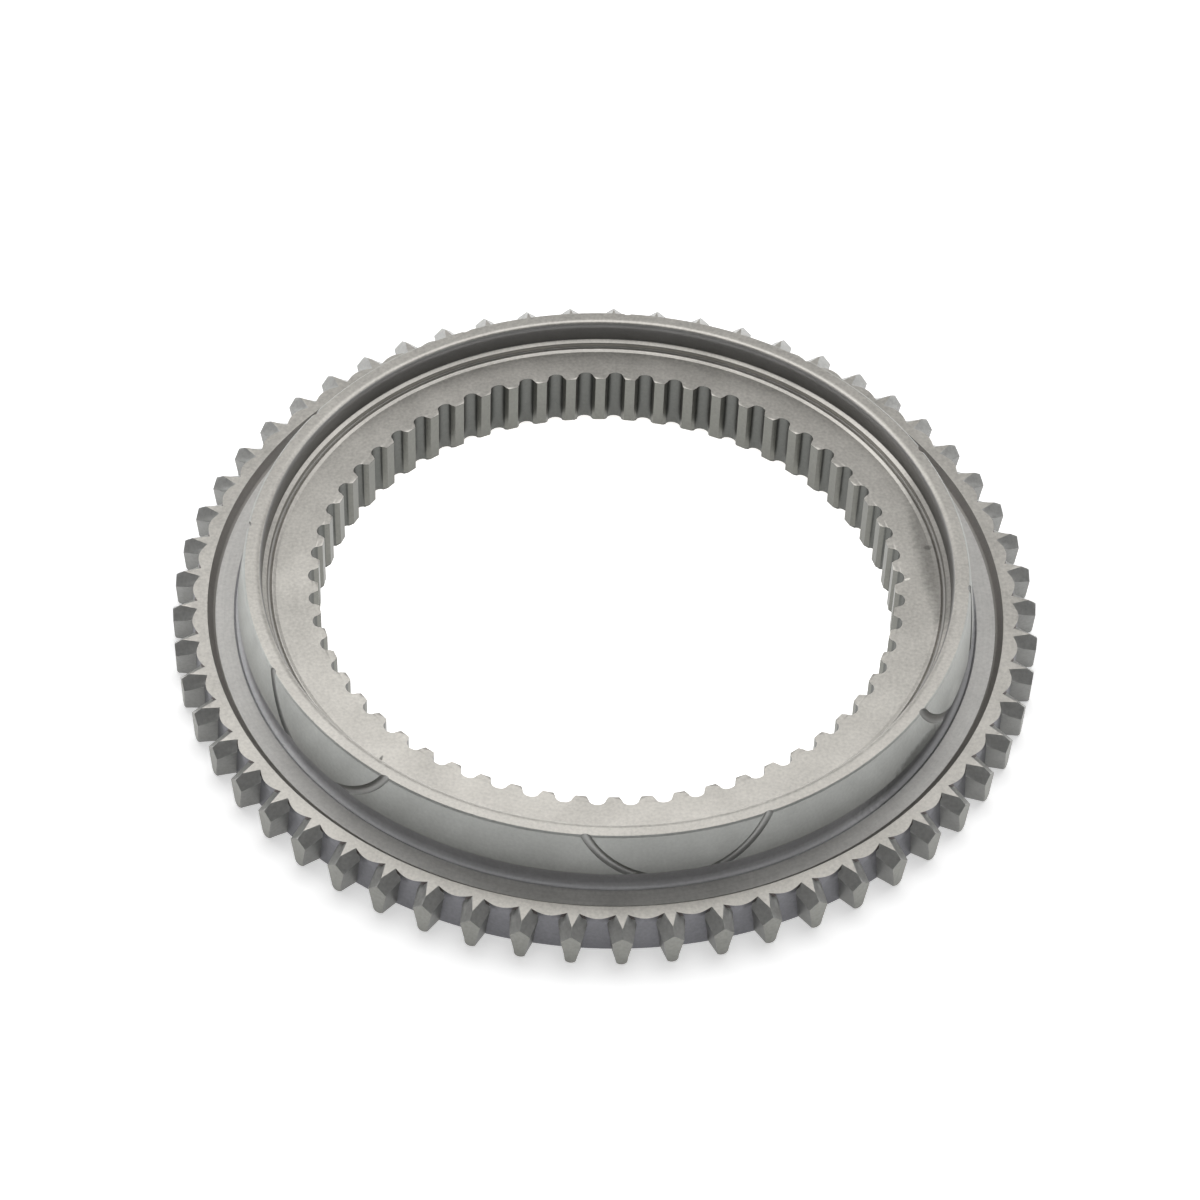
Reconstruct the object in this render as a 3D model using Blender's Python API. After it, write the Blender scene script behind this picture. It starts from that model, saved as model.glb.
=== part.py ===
"""Synchronizer cone of a truck gearbox, one turned and toothed steel ring.

The ring stands on its flange with its axis along +Z and its origin on the axis at the
underside. A flange carries the ring of roof-pointed dog teeth, a hollow friction cone with
curved oil grooves rises from it, and a splined hub web closes the foot of the cone.
"""

import math

import bmesh
import bpy
from mathutils import Vector

MM = 0.001

# Hub splines and the web that carries them
BORE_RADIUS = 58.0 * MM
SPLINE_COUNT = 58
SPLINE_BEARING = math.radians(-90.2)
SPLINE_DEPTH = 2.0 * MM
SPLINE_SPACE_WIDTH = 4.2 * MM
SPLINE_FLANK_ANGLE = math.radians(30.0)
SPLINE_FILLET_DEPTH = 1.1 * MM
SPLINE_END_CHAMFER = 0.6 * MM
WEB_WIDTH = 6.4 * MM
WEB_THICKNESS = 12.5 * MM
HUB_RELIEF_DEPTH = 1.6 * MM
HUB_RELIEF_WIDTH = 6.0 * MM

# Crest bead, score and ledge inside the cone
CREST_WIDTH = 1.2 * MM
CREST_RISE = 0.35 * MM
CREST_SETBACK = 0.5 * MM
SCORE_WIDTH = 0.6 * MM
SCORE_SETBACK = 0.15 * MM
LEDGE_WIDTH = 0.9 * MM
LEDGE_RISE = 1.3 * MM
LEDGE_BEVEL = 0.4 * MM

# Friction cone
CONE_HEIGHT = 11.0 * MM
CONE_HALF_ANGLE = math.radians(9.5)
CONE_LIP_WIDTH = 3.5 * MM
CONE_EDGE_CHAMFER = 0.3 * MM
CONE_INNER_ROUND = 1.5 * MM
FOOT_HEIGHT = 3.6 * MM
FOOT_RELIEF_DEPTH = 0.65 * MM
FOOT_RELIEF_WIDTH = 1.6 * MM
FOOT_RELIEF_DIP = 0.3 * MM
FOOT_FILLET_WIDTH = 1.2 * MM
FOOT_FILLET_HEIGHT = 1.0 * MM

# Curved oil grooves in the cone
OIL_GROOVE_COUNT = 6
OIL_GROOVE_SPAN = 36.1 * MM
OIL_GROOVE_DIP = 1.75 * MM
OIL_GROOVE_WIDTH = 1.9 * MM
OIL_GROOVE_DEPTH = 0.6 * MM
OIL_GROOVE_BEARING = math.radians(-77.75)

# Recessed annular face and the raised rim round it
RECESS_WIDTH = 4.0 * MM
RECESS_DEPTH = 1.8 * MM
RECESS_WALL_WIDTH = 1.2 * MM
RECESS_FILLET = 0.3 * MM
RIM_WIDTH = 2.0 * MM

# Flange and dog teeth
FLANGE_THICKNESS = 8.9 * MM
TOOTH_COUNT = 57
TOOTH_BEARING = math.radians(-86.35)
TOOTH_HEIGHT = 3.9 * MM
TOOTH_TIP_WIDTH = 3.9 * MM
TOOTH_ROOT_WIDTH = 5.5 * MM
TOOTH_BACK_TAPER = 0.8 * MM
TOOTH_FOOT_HEIGHT = 2.2 * MM
TOOTH_FOOT_WIDTH = 1.4 * MM
TOOTH_FOOT_SETBACK = 0.6 * MM
TOOTH_FOOT_ROUND = 0.3 * MM

# Roof faces on the teeth, and the scalloped rim that they leave
ROOF_ANGLE = math.radians(39.0)
RIDGE_WIDTH = 2.2 * MM
RIDGE_LENGTH = 3.4 * MM
RIDGE_TIP_DROP = 1.0 * MM
SCALLOP_DEPTH = 1.05 * MM
POCKET_LEAN = 0.25 * MM

# Facets of the round forms
RING_SEGMENTS = 84
SPLINE_ARC_STEPS = 2
FILLET_STEPS = 2
GROOVE_STATIONS = 15
GROOVE_FACETS = 4

# Radii that follow from the widths, from the hub outwards
spline_root = BORE_RADIUS + SPLINE_DEPTH
web_edge = spline_root + WEB_WIDTH
crest_outer = web_edge + CREST_WIDTH
ledge_inner = crest_outer + SCORE_WIDTH
cone_inner = ledge_inner + LEDGE_WIDTH
cone_top_radius = cone_inner + CONE_LIP_WIDTH

# Heights, from the underside up
web_top = HUB_RELIEF_DEPTH + WEB_THICKNESS
ledge_top = web_top + LEDGE_RISE
rim_top = FLANGE_THICKNESS
recess_floor = rim_top - RECESS_DEPTH
relief_floor = recess_floor - FOOT_RELIEF_DIP
cone_foot = recess_floor + FOOT_HEIGHT
cone_top = rim_top + CONE_HEIGHT

# Radii from the cone to the tooth tips
cone_slope = math.tan(CONE_HALF_ANGLE)
cone_foot_radius = cone_top_radius + (cone_top - cone_foot) * cone_slope
relief_radius = cone_foot_radius - FOOT_RELIEF_DEPTH
recess_inner = relief_radius + FOOT_RELIEF_WIDTH
recess_outer = recess_inner + RECESS_WIDTH
rim_inner = recess_outer + RECESS_WALL_WIDTH
rim_notch = rim_inner + RIM_WIDTH
tooth_root = rim_notch + SCALLOP_DEPTH
tooth_tip = tooth_root + TOOTH_HEIGHT
tooth_pitch = 2.0 * math.pi / TOOTH_COUNT


def clear_scene():
    """Remove every object that the file opens with."""
    for item in list(bpy.data.objects):
        bpy.data.objects.remove(item, do_unlink=True)


def polar(radius, angle, height):
    """Point at a radius and an angle round the ring's axis."""
    return Vector((radius * math.cos(angle), radius * math.sin(angle), height))


def steel_material():
    """Satin ground steel."""
    material = bpy.data.materials.new("ground_steel")
    material.use_nodes = True
    shader = material.node_tree.nodes["Principled BSDF"]
    shader.inputs["Base Color"].default_value = (0.56, 0.55, 0.52, 1.0)
    shader.inputs["Metallic"].default_value = 1.0
    shader.inputs["Roughness"].default_value = 0.42
    return material


def recess_profile():
    """Rim's inner edge, sloped wall, recessed face and the turned relief at the cone's foot."""
    wall_share = RECESS_FILLET / math.hypot(RECESS_WALL_WIDTH, RECESS_DEPTH)
    fillet = []
    for step in range(FILLET_STEPS + 1):
        turn = math.pi / 2.0 * step / FILLET_STEPS
        radius = relief_radius + FOOT_FILLET_WIDTH * (1.0 - math.sin(turn))
        fillet.append((radius, relief_floor + FOOT_FILLET_HEIGHT * (1.0 - math.cos(turn))))
    return [
        (rim_inner, rim_top),
        (recess_outer + RECESS_WALL_WIDTH * wall_share, recess_floor + RECESS_DEPTH * wall_share),
        (recess_outer - RECESS_FILLET, recess_floor),
        (recess_inner, recess_floor),
    ] + fillet


def cone_profile():
    """Step out to the cone's foot, ground cone, top face, rounded inner edge and inner wall."""
    chamfer = CONE_EDGE_CHAMFER
    corner = CONE_INNER_ROUND
    diagonal = corner * (1.0 - math.sqrt(0.5))
    return [
        (relief_radius, cone_foot - FOOT_RELIEF_DEPTH),
        (cone_foot_radius, cone_foot),
        (cone_top_radius + chamfer * cone_slope, cone_top - chamfer),
        (cone_top_radius - chamfer, cone_top),
        (cone_inner + corner, cone_top),
        (cone_inner + diagonal, cone_top - diagonal),
        (cone_inner, cone_top - corner),
        (cone_inner, ledge_top),
    ]


def hub_profile():
    """Ledge, scored line and crest bead, down to the edge of the flat web."""
    return [
        (ledge_inner, ledge_top - LEDGE_BEVEL),
        (ledge_inner - SCORE_SETBACK, web_top),
        (crest_outer, web_top),
        (crest_outer - CREST_SETBACK, web_top + CREST_RISE),
        (web_edge, web_top),
    ]


def under_profile():
    """Relieved underside of the hub, from its edge out to the flange's flat foot."""
    hub_edge = spline_root + HUB_RELIEF_WIDTH
    return [
        (hub_edge, HUB_RELIEF_DEPTH),
        (hub_edge + HUB_RELIEF_DEPTH, 0.0),
    ]


def ring_loop(mesh, radius, height):
    """Closed loop of vertices round the axis."""
    step = 2.0 * math.pi / RING_SEGMENTS
    return [mesh.verts.new(polar(radius, step * i, height)) for i in range(RING_SEGMENTS)]


def strip(mesh, outer, inner):
    """Quads between two loops with as many points."""
    count = len(outer)
    for i in range(count):
        j = (i + 1) % count
        mesh.faces.new((outer[i], outer[j], inner[j], inner[i]))


def loop_edges(mesh, loop):
    """Edges of a closed loop, made where they are missing."""
    edges = []
    for a, b in zip(loop, loop[1:] + loop[:1]):
        edges.append(mesh.edges.get((a, b)) or mesh.edges.new((a, b)))
    return edges


def flat_ring(mesh, outer, inner):
    """Flat face between two closed loops whose counts may differ."""
    edges = loop_edges(mesh, outer) + loop_edges(mesh, inner)
    bmesh.ops.triangle_fill(mesh, edges=edges, use_beauty=True)


def ridge_half_width(radius):
    """Half width of the roof's level ridge; below zero where the ridge has run out."""
    ridge_end = rim_notch + RIDGE_LENGTH
    if radius <= ridge_end:
        return RIDGE_WIDTH / 2.0 * (ridge_end - radius) / RIDGE_LENGTH
    fall = RIDGE_TIP_DROP / math.tan(ROOF_ANGLE)
    return -fall * (radius - ridge_end) / (tooth_tip - ridge_end)


def roof_height(radius, offset):
    """Height of the roof face beside the ridge."""
    return rim_top - (offset - ridge_half_width(radius)) * math.tan(ROOF_ANGLE)


def scallop_radius(offset):
    """Rim edge between two ridges, a convex bump from notch to notch."""
    reach = tooth_root * tooth_pitch / 2.0
    share = (offset - RIDGE_WIDTH / 2.0) / (reach - RIDGE_WIDTH / 2.0)
    return rim_notch + SCALLOP_DEPTH * math.sin(share * math.pi / 2.0)


def tooth_columns():
    """Half of one pitch of the toothed edge, from the tooth's middle to the gap's.

    Each column runs from the level face down to the underside, as points of
    (radius, offset along the pitch, height).
    """
    ridge_half = RIDGE_WIDTH / 2.0
    tip_half = TOOTH_TIP_WIDTH / 2.0
    root_half = TOOTH_ROOT_WIDTH / 2.0
    gap_half = tooth_root * tooth_pitch / 2.0
    foot = TOOTH_FOOT_HEIGHT
    foot_radius = tooth_tip - TOOTH_FOOT_SETBACK
    gap_floor = roof_height(tooth_root, root_half)
    gap_wall = (rim_top + gap_floor) / 2.0

    ridge_end = rim_notch + RIDGE_LENGTH
    nose = (ridge_end + tooth_tip) / 2.0
    centre = [
        (ridge_end, 0.0, rim_top),
        (nose, 0.0, roof_height(nose, 0.0)),
        (tooth_tip, 0.0, roof_height(tooth_tip, 0.0)),
        (tooth_tip, 0.0, TOOTH_FOOT_ROUND),
        (foot_radius, 0.0, 0.0),
    ]
    pocket = rim_notch + SCALLOP_DEPTH / 2.0
    pocket_half = (ridge_half + root_half) / 2.0 - POCKET_LEAN
    corner = [
        (rim_notch, ridge_half, rim_top),
        (pocket, pocket_half, roof_height(pocket, pocket_half)),
        (tooth_tip, tip_half, roof_height(tooth_tip, tip_half)),
        (tooth_tip, tip_half - TOOTH_BACK_TAPER, foot),
        (foot_radius, TOOTH_FOOT_WIDTH / 2.0, 0.0),
    ]
    bump_half = (ridge_half + root_half) / 2.0 + POCKET_LEAN
    flank = [
        (scallop_radius(bump_half), bump_half, rim_top),
        (scallop_radius(root_half), root_half - POCKET_LEAN, gap_wall),
        (tooth_root, root_half, gap_floor),
        (tooth_root, root_half - TOOTH_BACK_TAPER, foot),
        (tooth_root, root_half - TOOTH_BACK_TAPER - TOOTH_FOOT_ROUND, 0.0),
    ]
    side = (root_half + gap_half) / 2.0
    beside = [
        (scallop_radius(side), side, rim_top),
        (scallop_radius(side), side, gap_wall),
        (tooth_root, side, gap_floor),
        (tooth_root, side, foot),
        (tooth_root, side, 0.0),
    ]
    middle = [
        (tooth_root, gap_half, rim_top),
        (tooth_root, gap_half, gap_wall),
        (tooth_root, gap_half, gap_floor),
        (tooth_root, gap_half, foot),
        (tooth_root, gap_half, 0.0),
    ]
    return [centre, corner, flank, beside, middle]


def tooth_rows(mesh):
    """Loops of vertices round the toothed edge, from the level face to the underside."""
    half = tooth_columns()
    mirrored = [[(r, -t, z) for r, t, z in column] for column in half[3:0:-1]]
    columns = mirrored + half
    rows = [[] for point in half[0]]
    for tooth in range(TOOTH_COUNT):
        bearing = TOOTH_BEARING + tooth * tooth_pitch
        for column in columns:
            for row, (radius, offset, height) in zip(rows, column):
                row.append(mesh.verts.new(polar(radius, bearing + offset / radius, height)))
    return rows


def spline_outline():
    """One spline space as points of (radius, offset): straight flanks and an arched root."""
    mouth = SPLINE_SPACE_WIDTH / 2.0
    fillet_top = spline_root - SPLINE_FILLET_DEPTH
    narrow = mouth - (fillet_top - BORE_RADIUS) * math.tan(SPLINE_FLANK_ANGLE)
    half = [(BORE_RADIUS, mouth)]
    for step in range(SPLINE_ARC_STEPS):
        turn = math.pi / 2.0 * step / SPLINE_ARC_STEPS
        half.append((fillet_top + SPLINE_FILLET_DEPTH * math.sin(turn), narrow * math.cos(turn)))
    left = [(radius, -offset) for radius, offset in half]
    return left + [(spline_root, 0.0)] + half[::-1]


def spline_loop(mesh, height, opening):
    """Closed loop round the splines; the lands stand back by the opening."""
    outline = spline_outline()
    step = 2.0 * math.pi / SPLINE_COUNT
    loop = []
    for space in range(SPLINE_COUNT):
        bearing = SPLINE_BEARING + space * step
        for radius, offset in outline:
            place = max(radius, BORE_RADIUS + opening)
            loop.append(mesh.verts.new(polar(place, bearing + offset / radius, height)))
    return loop


def ring_body():
    """The whole ring as one closed mesh, before the oil grooves are cut."""
    mesh = bmesh.new()
    rows = tooth_rows(mesh)
    for upper, lower in zip(rows, rows[1:]):
        strip(mesh, lower, upper)

    profile = recess_profile() + cone_profile() + hub_profile()
    turned = [ring_loop(mesh, radius, height) for radius, height in profile]
    for outer, inner in zip(turned, turned[1:]):
        strip(mesh, outer, inner)
    flat_ring(mesh, rows[0], turned[0])

    spline_top = spline_loop(mesh, web_top, 0.0)
    spline_low = spline_loop(mesh, HUB_RELIEF_DEPTH + SPLINE_END_CHAMFER, 0.0)
    spline_end = spline_loop(mesh, HUB_RELIEF_DEPTH, SPLINE_END_CHAMFER)
    flat_ring(mesh, turned[-1], spline_top)
    strip(mesh, spline_top, spline_low)
    strip(mesh, spline_low, spline_end)

    under = [ring_loop(mesh, radius, height) for radius, height in under_profile()]
    flat_ring(mesh, under[0], spline_end)
    strip(mesh, under[0], under[1])
    flat_ring(mesh, rows[-1], under[1])

    bmesh.ops.recalc_face_normals(mesh, faces=mesh.faces)
    return mesh


class GrooveSweep:
    """Circle that an oil groove follows on the cone, dipping into the relief at its foot."""

    def __init__(self):
        self.low = cone_foot - OIL_GROOVE_DIP
        rise = cone_top - self.low
        half_span = OIL_GROOVE_SPAN / 2.0
        half_width = OIL_GROOVE_WIDTH / 2.0
        self.radius = (half_span ** 2 + rise ** 2) / (2.0 * rise)
        self.reach = math.acos(1.0 - (rise + OIL_GROOVE_WIDTH) / self.radius)
        self.bar_radius = (half_width ** 2 + OIL_GROOVE_DEPTH ** 2) / (2.0 * OIL_GROOVE_DEPTH)

    def centre(self, turn, bearing):
        """Centre of the bar's section, and the direction that points out of the cone."""
        height = self.low + self.radius * (1.0 - math.cos(turn))
        radius = cone_foot_radius - (height - cone_foot) * cone_slope
        angle = bearing + self.radius * math.sin(turn) / cone_foot_radius
        outward = polar(math.cos(CONE_HALF_ANGLE), angle, math.sin(CONE_HALF_ANGLE))
        return polar(radius, angle, height) + outward * (self.bar_radius - OIL_GROOVE_DEPTH), outward

    def section(self, mesh, turn, bearing):
        """Arc of the bar that lies in the cone, with its ends just outside the surface."""
        nudge = self.reach / GROOVE_STATIONS
        centre, outward = self.centre(turn, bearing)
        ahead = self.centre(turn + nudge, bearing)[0] - self.centre(turn - nudge, bearing)[0]
        across = ahead.cross(outward).normalized()
        lift = OIL_GROOVE_DEPTH / 2.0
        arch = math.acos(1.0 - (OIL_GROOVE_DEPTH + lift) / self.bar_radius)
        points = []
        for facet in range(GROOVE_FACETS + 1):
            lean = arch * (2.0 * facet / GROOVE_FACETS - 1.0)
            offset = across * math.sin(lean) - outward * math.cos(lean)
            points.append(mesh.verts.new(centre + offset * self.bar_radius))
        return points


def groove_cutter():
    """Bars of arched section, swept along the oil grooves' circles on the cone."""
    mesh = bmesh.new()
    sweep = GrooveSweep()
    for groove in range(OIL_GROOVE_COUNT):
        bearing = OIL_GROOVE_BEARING + groove * 2.0 * math.pi / OIL_GROOVE_COUNT
        sections = []
        for station in range(GROOVE_STATIONS):
            turn = sweep.reach * (2.0 * station / (GROOVE_STATIONS - 1) - 1.0)
            sections.append(sweep.section(mesh, turn, bearing))
        for near, far in zip(sections, sections[1:]):
            strip(mesh, near, far)
        mesh.faces.new(sections[0])
        mesh.faces.new(sections[-1])
    bmesh.ops.recalc_face_normals(mesh, faces=mesh.faces)
    return mesh


def mesh_object(name, mesh, material=None):
    """Turn a bmesh into a named object in the scene."""
    data = bpy.data.meshes.new(name)
    mesh.to_mesh(data)
    mesh.free()
    item = bpy.data.objects.new(name, data)
    bpy.context.scene.collection.objects.link(item)
    if material:
        data.materials.append(material)
    return item


def build():
    """Make the ring and cut its oil grooves."""
    clear_scene()
    ring = mesh_object("synchronizer_cone", ring_body(), steel_material())
    cutter = mesh_object("oil_groove_cutter", groove_cutter())
    cutter.hide_render = True
    cutter.display_type = "WIRE"

    cut = ring.modifiers.new("oil_grooves", "BOOLEAN")
    cut.operation = "DIFFERENCE"
    cut.solver = "EXACT"
    cut.object = cutter

    ring.data.shade_smooth()
    ring.data.set_sharp_from_angle(angle=math.radians(20.0))


build()
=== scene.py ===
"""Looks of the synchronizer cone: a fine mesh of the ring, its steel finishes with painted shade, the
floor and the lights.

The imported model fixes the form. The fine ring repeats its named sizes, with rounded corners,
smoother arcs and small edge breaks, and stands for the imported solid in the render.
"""

import math

import bmesh
import bpy
from mathutils import Matrix, Vector


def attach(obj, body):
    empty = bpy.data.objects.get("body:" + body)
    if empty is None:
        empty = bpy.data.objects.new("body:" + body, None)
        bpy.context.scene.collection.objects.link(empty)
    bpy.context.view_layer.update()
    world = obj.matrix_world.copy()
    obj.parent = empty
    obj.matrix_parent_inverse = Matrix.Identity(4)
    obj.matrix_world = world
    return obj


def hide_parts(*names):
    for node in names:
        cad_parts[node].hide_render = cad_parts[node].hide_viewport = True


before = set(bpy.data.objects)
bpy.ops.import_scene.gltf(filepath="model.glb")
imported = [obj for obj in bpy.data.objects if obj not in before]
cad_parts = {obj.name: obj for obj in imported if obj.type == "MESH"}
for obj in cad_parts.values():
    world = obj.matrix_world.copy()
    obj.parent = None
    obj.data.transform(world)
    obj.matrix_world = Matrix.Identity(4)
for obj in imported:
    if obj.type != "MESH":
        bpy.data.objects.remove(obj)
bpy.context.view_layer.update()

# One millimetre, in the script's metres
MM = 0.001

# Hub splines and the web that carries them
BORE_RADIUS = 58.0 * MM
SPLINE_COUNT = 58
SPLINE_BEARING = math.radians(-90.2)
SPLINE_DEPTH = 2.0 * MM
SPLINE_SPACE_WIDTH = 4.2 * MM
SPLINE_FLANK_ANGLE = math.radians(30.0)
SPLINE_FILLET_DEPTH = 1.1 * MM
SPLINE_END_CHAMFER = 0.6 * MM
WEB_WIDTH = 6.4 * MM
WEB_THICKNESS = 12.5 * MM
HUB_RELIEF_DEPTH = 1.6 * MM
HUB_RELIEF_WIDTH = 6.0 * MM

# Crest bead, score and ledge inside the cone
CREST_WIDTH = 1.2 * MM
CREST_RISE = 0.35 * MM
CREST_SETBACK = 0.5 * MM
SCORE_WIDTH = 0.6 * MM
SCORE_SETBACK = 0.15 * MM
LEDGE_WIDTH = 0.9 * MM
LEDGE_RISE = 1.3 * MM
LEDGE_BEVEL = 0.4 * MM

# Friction cone
CONE_HEIGHT = 11.0 * MM
CONE_HALF_ANGLE = math.radians(9.5)
CONE_LIP_WIDTH = 3.5 * MM
CONE_EDGE_CHAMFER = 0.3 * MM
CONE_INNER_ROUND = 1.5 * MM
FOOT_HEIGHT = 3.6 * MM
FOOT_RELIEF_DEPTH = 0.65 * MM
FOOT_RELIEF_WIDTH = 1.6 * MM
FOOT_RELIEF_DIP = 0.3 * MM
FOOT_FILLET_WIDTH = 1.2 * MM
FOOT_FILLET_HEIGHT = 1.0 * MM

# Curved oil grooves in the cone
OIL_GROOVE_COUNT = 6
OIL_GROOVE_SPAN = 36.1 * MM
OIL_GROOVE_DIP = 1.75 * MM
OIL_GROOVE_WIDTH = 1.9 * MM
OIL_GROOVE_DEPTH = 0.6 * MM
OIL_GROOVE_BEARING = math.radians(-77.75)

# Recessed annular face and the raised rim round it
RECESS_WIDTH = 4.0 * MM
RECESS_DEPTH = 1.8 * MM
RECESS_WALL_WIDTH = 1.2 * MM
RECESS_FILLET = 0.3 * MM
RIM_WIDTH = 2.0 * MM

# Flange and dog teeth
FLANGE_THICKNESS = 8.9 * MM
TOOTH_COUNT = 57
TOOTH_BEARING = math.radians(-86.35)
TOOTH_HEIGHT = 3.9 * MM
TOOTH_TIP_WIDTH = 3.9 * MM
TOOTH_ROOT_WIDTH = 5.5 * MM
TOOTH_BACK_TAPER = 0.8 * MM
TOOTH_FOOT_HEIGHT = 2.2 * MM
TOOTH_FOOT_WIDTH = 1.4 * MM
TOOTH_FOOT_SETBACK = 0.6 * MM
TOOTH_FOOT_ROUND = 0.3 * MM

# Roof faces on the teeth, and the scalloped rim that they leave
ROOF_ANGLE = math.radians(39.0)
RIDGE_WIDTH = 2.2 * MM
RIDGE_LENGTH = 3.4 * MM
RIDGE_TIP_DROP = 1.0 * MM
SCALLOP_DEPTH = 1.05 * MM
POCKET_LEAN = 0.25 * MM

# Fineness of the render mesh
RING_SEGMENTS = 360
CORNER_STEPS = 8
SPLINE_ARC_STEPS = 6
FILLET_STEPS = 10
TIP_STEPS = 4
FLANK_STEPS = 2
GAP_STEPS = 4
ROOF_STEPS = 2
WALL_STEPS = 2
FOOT_STEPS = 3
GROOVE_STATIONS = 64
GROOVE_FACETS = 8

# Rounded corners of the turned section, and the broken edges
CORNER_ROUND = 0.1 * MM
RIM_CORNER_ROUND = CORNER_ROUND / 2.0
LEDGE_CORNER_ROUND = 2.0 * CORNER_ROUND
CREST_ROUND = 4.0 * CORNER_ROUND
CORNER_REACH_LIMIT = 0.45
EDGE_BREAK = 0.12 * MM
EDGE_BREAK_ANGLE = math.radians(28.0)
EDGE_BREAK_SEGMENTS = 2
FLAT_FACE_WEIGHT = 50

# Grain of the steel, as cells of noise per metre, octaves of detail and metres of drift per radian
TURNING_SCALE = 2600.0
TURNING_DETAIL = 2.0
TURNING_DRIFT = 0.002
PATCH_SCALE = 90.0
SPECK_SCALE = 1500.0
GRAIN_DETAIL = 4.0
GRAIN_ROUGHNESS = 0.3
BUMP_STRENGTH = 0.35
BUMP_HEIGHT = 0.04 * MM
LAY_ROTATION = 0.25
# Painted shade down the inner round towards the wall: its width, and the share of colour left at the
# wall
PAINTED_WALL_SHADE_WIDTH = CONE_INNER_ROUND / 3.0
PAINTED_WALL_SHADE_SHARE = 0.45
PLAIN_STEEL = (0.58, 0.56, 0.52)

# Noise that frays the marks, and where their edges fade out in half sizes squared
MARK_SCALE = 900.0
MARK_DETAIL = 3.0
MARK_EDGES = (0.3, 1.3)

# Marks of wear and dirt, patches of painted shade and a burr's painted glint, as (radius, bearing in
# degrees, height, half sizes, turn in degrees, shade)
HUB_MARKS_SHADE_AND_GLINT = (
    (66.0 * MM, -129.5, 14.2 * MM, (1.2 * MM, 0.35 * MM, 2.0 * MM), 20.0, 0.35),
    (66.0 * MM, 10.2, 14.2 * MM, (0.9 * MM, 0.7 * MM, 2.0 * MM), 0.0, 0.6),
    # Painted highlight: the glint of a raised burr where it meets the hub, as a bright patch
    (60.6 * MM, 2.4, 14.1 * MM, (0.7 * MM, 0.3 * MM, 2.0 * MM), 25.0, 1.7),
    # Painted shade: a broad dark band over the hub beside the crest, on the right side
    (68.5 * MM, 8.0, 14.2 * MM, (5.5 * MM, 36.0 * MM, 3.0 * MM), 0.0, 0.6),
)
SPLINE_BURR_GLINT = (
    # Painted highlight: the glint of a raised burr at a spline root's upper edge, as a bright patch
    (59.4 * MM, 1.9, 14.1 * MM, (1.2 * MM, 0.7 * MM, 1.3 * MM), 0.0, 4.0),
)
CONE_MARKS = (
    (74.0 * MM, -33.0, 10.5 * MM, (4.0 * MM, 9.0 * MM, 3.0 * MM), 0.0, 0.5),
    (74.0 * MM, -21.0, 11.6 * MM, (4.0 * MM, 4.0 * MM, 3.0 * MM), 0.0, 1.12),
)
RELIEF_PAINTED_SHADE = (
    # Painted shade: broad dark patches over the cone's foot relief, on the right and on the left
    (74.0 * MM, -22.0, 8.0 * MM, (14.0 * MM, 36.0 * MM, 9.0 * MM), 0.0, 0.6),
    (74.0 * MM, 190.0, 8.0 * MM, (14.0 * MM, 30.0 * MM, 9.0 * MM), 0.0, 0.85),
)

# Camera, with angles in radians, places in metres and the sensor in millimetres
CAMERA_PITCH = 0.8144832
CAMERA_ROLL = 0.0402757
CAMERA_DISTANCE = 0.718747
CAMERA_OFFSET = (-0.0012509, -0.0008688)
CAMERA_AIM_HEIGHT = 0.0084
CAMERA_SENSOR = 36.0
CAMERA_LENS_RATIO = 2.960178
CAMERA_CLIP_START = 0.01

# Plain colours
WHITE = (1.0, 1.0, 1.0, 1.0)
BLACK = (0.0, 0.0, 0.0, 1.0)

# Floor
FLOOR_RADIUS = 3.0
FLOOR_SEGMENTS = 96
FLOOR_COLOUR = (0.9, 0.9, 0.9, 1.0)
FLOOR_ROUGHNESS = 0.9
FLOOR_GLOW = 0.5
BORE_GLOW = 1.0
BORE_GLOW_EDGES = (63.0 * MM, 58.5 * MM)

# Room: edges are the part of a unit direction that points backwards (+Y) or up
ROOM_LEVEL = 0.22
CEILING_SHADE = -0.12
CEILING_SIDE_EDGES = (-0.2, -0.5)
CEILING_LOW_EDGES = (0.5, 0.7)
SWEEP_LEVEL = 0.95
SWEEP_SIDE_EDGES = (0.2, 0.7)
SWEEP_TOP_EDGES = (0.85, 0.3)
OVERHEAD_LEVEL = 1.2
OVERHEAD_EDGES = (0.95, 0.985)

# Softbox sheet and wide lamp, in metres
SOFTBOX_HEIGHT = 0.3
SOFTBOX_REACH = (0.07, 0.9)
SOFTBOX_HALF_WIDTH = 0.6
SOFTBOX_LEVEL = 0.40
SOFTBOX_CORE_LEVEL = 1.35
SOFTBOX_CORE_EDGES = (0.27, 0.17)
SOFTBOX_TILT_EDGES = (0.15, -0.15)
SOFTBOX_TILT = (0.8, 1.04)
LAMP_SIZE = 1.8
LAMP_POWER = 16.0
LAMP_PLACE = (0.2, 1.0, 1.6)

# Radii that follow from the widths, from the hub outwards
spline_root = BORE_RADIUS + SPLINE_DEPTH
web_edge = spline_root + WEB_WIDTH
crest_outer = web_edge + CREST_WIDTH
ledge_inner = crest_outer + SCORE_WIDTH
cone_inner = ledge_inner + LEDGE_WIDTH
cone_top_radius = cone_inner + CONE_LIP_WIDTH

# Heights, from the underside up
web_top = HUB_RELIEF_DEPTH + WEB_THICKNESS
ledge_top = web_top + LEDGE_RISE
rim_top = FLANGE_THICKNESS
recess_floor = rim_top - RECESS_DEPTH
relief_floor = recess_floor - FOOT_RELIEF_DIP
cone_foot = recess_floor + FOOT_HEIGHT
cone_top = rim_top + CONE_HEIGHT

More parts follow.
